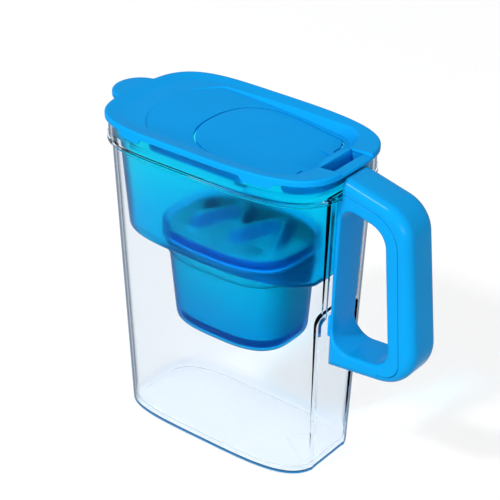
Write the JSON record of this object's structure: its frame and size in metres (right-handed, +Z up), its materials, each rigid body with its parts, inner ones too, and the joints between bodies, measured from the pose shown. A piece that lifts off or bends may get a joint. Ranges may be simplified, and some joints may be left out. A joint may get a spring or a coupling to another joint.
{
  "type": "water filter pitcher",
  "caption": "Household water filter jug with a clear body, a side handle, a lift-out reservoir, a drop-in cartridge and a lid with a flip-up filling flap.",
  "frame": {"origin": "on the resting surface, under the jug, on its symmetry plane and at the middle of the sides of its base", "axes": "+X towards the handle, -X towards the spout, +Z up, and XZ is the symmetry plane"},
  "size_m": [0.2563, 0.107, 0.234],
  "materials": {
    "clear_jug": "clear, colourless, polished",
    "handle_blue": "satin moulded",
    "grip_blue": "satin moulded",
    "tinted_blue": "translucent blue, polished",
    "lid_blue": "satin moulded",
    "flap_blue": "satin moulded",
    "housing_blue": "translucent blue",
    "seal": "soft",
    "grille": "moulded",
    "screen": "woven mesh",
    "carbon": "granular",
    "fibre": "felted",
    "cap_blue": "satin moulded"
  },
  "bodies": {
    "jug": {"jug_body": "clear_jug", "handle_frame": "handle_blue", "handle_cover": "grip_blue"},
    "reservoir": {"reservoir": "tinted_blue"},
    "lid": {"lid_cover": "lid_blue"},
    "flap": {"flip_lid": "flap_blue"},
    "cartridge": {"cartridge_housing": "housing_blue", "cartridge_seal": "seal", "outlet_grille": "grille", "outlet_screen": "screen", "media_bed": "carbon", "fibre_pad": "fibre", "inlet_screen": "screen", "cartridge_cap": "cap_blue"}
  },
  "joints": [
    {"name": "reservoir_lift", "type": "slide", "parent": "jug", "child": "reservoir", "axis": [0, 0, 1], "range_m": [0, 0.15]},
    {"name": "lid_lift", "type": "slide", "parent": "reservoir", "child": "lid", "axis": [0, 0, 1], "range_m": [0, 0.04]},
    {"name": "flap_hinge", "type": "hinge", "parent": "lid", "child": "flap", "pos_m": [-0.002, 0, 0.2283], "axis": [0, -1, 0], "range_deg": [0, 95]},
    {"name": "cartridge_lift", "type": "slide", "parent": "reservoir", "child": "cartridge", "axis": [0, 0, 1], "range_m": [0, 0.04]}
  ]
}
